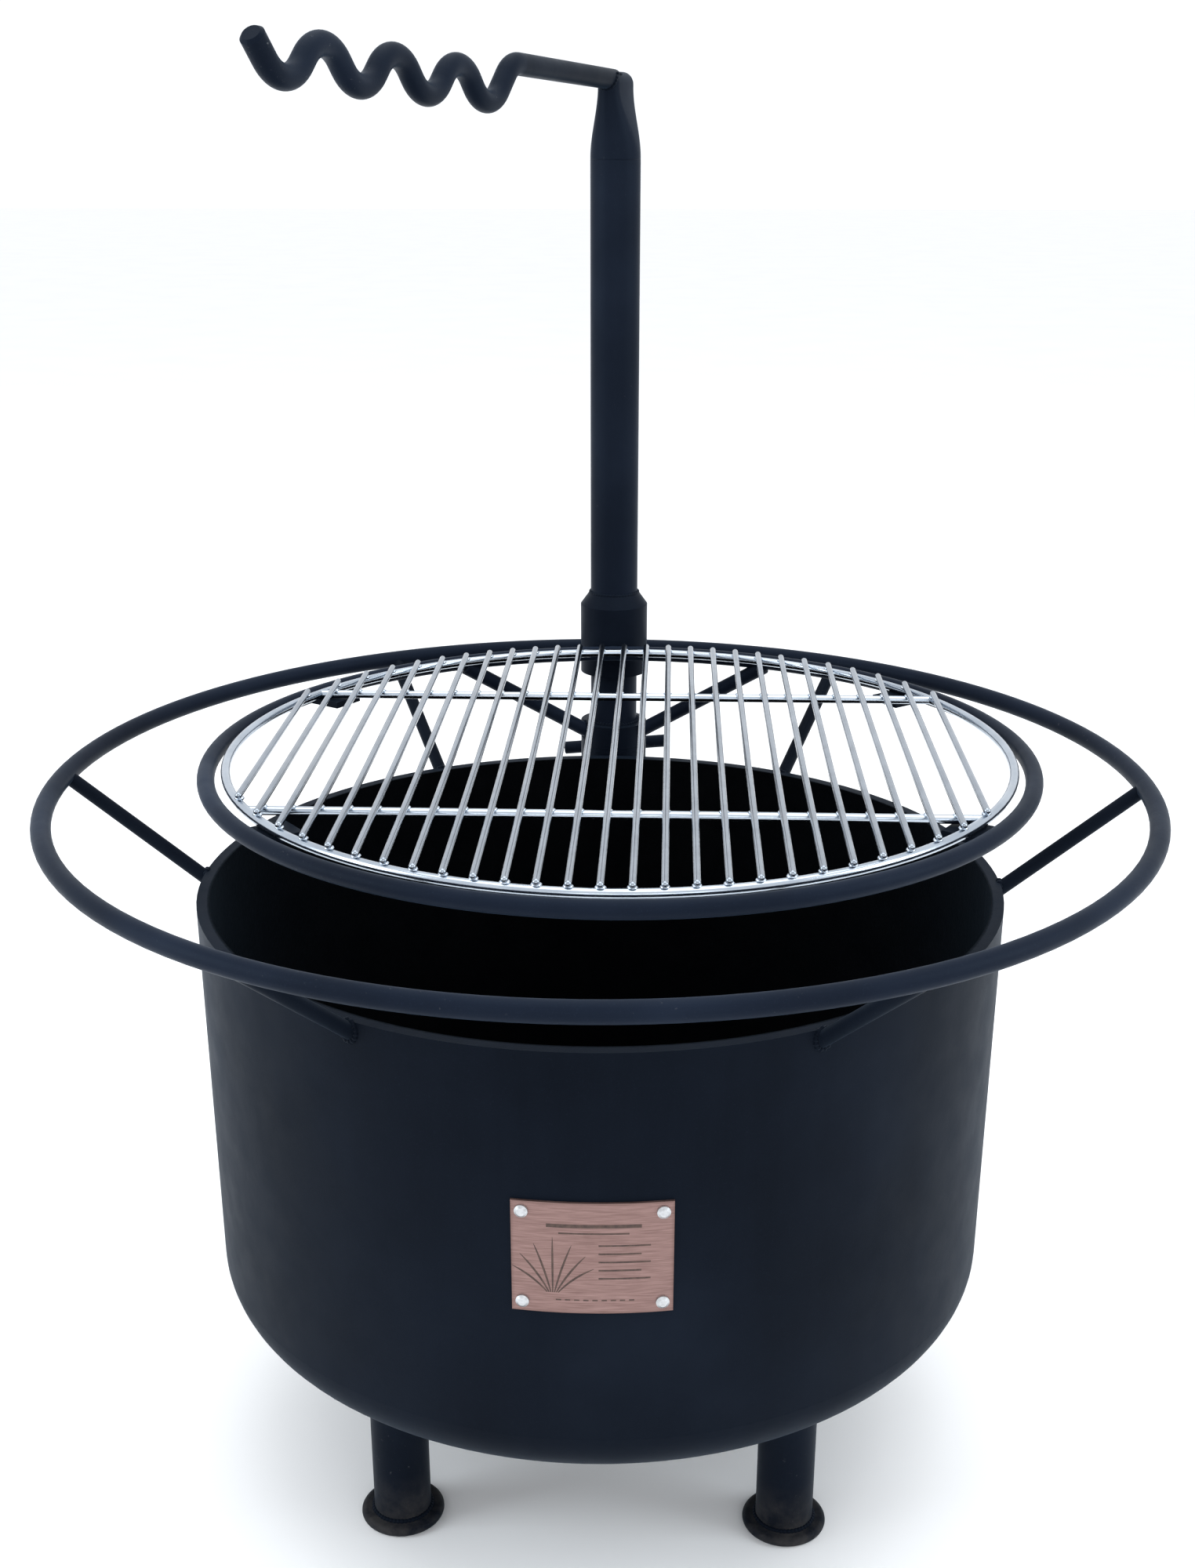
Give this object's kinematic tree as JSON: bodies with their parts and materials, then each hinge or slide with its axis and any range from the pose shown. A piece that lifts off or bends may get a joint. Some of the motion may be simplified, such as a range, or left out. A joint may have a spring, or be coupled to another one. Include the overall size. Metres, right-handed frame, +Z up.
{
  "type": "fire pit with swing-out cooking grate",
  "caption": "Round steel fire pit on pipe legs, with a hoop rail, and a cooking grate that lifts and swings on a rear post with a wavy handle.",
  "frame": {"origin": "on the ground under the middle of the bowl", "axes": "+Z up, front of the pit towards -Y, the post at +Y"},
  "size_m": [0.8281, 0.8282, 1.0722],
  "materials": {
    "painted_steel": "satin blue-black heat-resistant paint",
    "chrome_wire": "bright chrome plate",
    "copper_plate": "brushed copper, lightly etched",
    "zinc_steel": "zinc-plated steel"
  },
  "bodies": {
    "base": {"bowl_shell": "painted_steel", "dished_bottom": "painted_steel", "leg_front_left": "painted_steel", "leg_front_right": "painted_steel", "leg_rear_left": "painted_steel", "leg_rear_right": "painted_steel", "foot_front_left": "painted_steel", "foot_front_right": "painted_steel", "foot_rear_left": "painted_steel", "foot_rear_right": "painted_steel", "hoop_rail": "painted_steel", "strut_front_left": "painted_steel", "strut_front_right": "painted_steel", "strut_left": "painted_steel", "strut_right": "painted_steel", "strut_rear_left": "painted_steel", "strut_rear_right": "painted_steel", "post_receiver": "painted_steel", "saddle_upper": "painted_steel", "saddle_lower": "painted_steel", "clamp_nut": "zinc_steel", "name_plate": "copper_plate", "plate_screws": "zinc_steel"},
    "lift_washer": {"thrust_washer": "painted_steel"},
    "swing_arm": {"post_tube": "painted_steel", "post_crown": "painted_steel", "stop_collar": "painted_steel", "ring_hub": "painted_steel", "brace_left": "painted_steel", "brace_right": "painted_steel", "grate_ring": "painted_steel", "grate_tabs": "painted_steel", "handle_arm": "painted_steel", "wave_grip": "painted_steel"},
    "cooking_grate": {"grate_rim": "chrome_wire", "grate_bars": "chrome_wire", "grate_cross_rods": "chrome_wire"},
    "clamp_screw": {"clamp_screw": "zinc_steel"},
    "clamp_handle": {"clamp_head": "zinc_steel", "clamp_tee_bar": "painted_steel"}
  },
  "joints": [
    {"name": "post_lift", "type": "slide", "parent": "base", "child": "lift_washer", "axis": [0, 0, 1], "range_m": [0, 0.15]},
    {"name": "grate_swing", "type": "hinge", "parent": "lift_washer", "child": "swing_arm", "pos_m": [0, 0.3395, 0.4965], "axis": [0, 0, 1], "range_deg": [-30, 30]},
    {"name": "grate_lift_off", "type": "slide", "parent": "swing_arm", "child": "cooking_grate", "axis": [0, 0, 1], "range_m": [0, 0.1]},
    {"name": "clamp_out", "type": "slide", "parent": "base", "child": "clamp_screw", "axis": [0, 1, 0], "range_m": [0, 0.0036]},
    {"name": "clamp_turn", "type": "hinge", "parent": "clamp_screw", "child": "clamp_handle", "pos_m": [0, 0.39565, 0.469], "axis": [0, 1, 0], "range_deg": [0, 720]}
  ],
  "couplings": [
    {"joint": "clamp_out", "follows": "clamp_turn", "m_per_rad": 0.00027852}
  ]
}
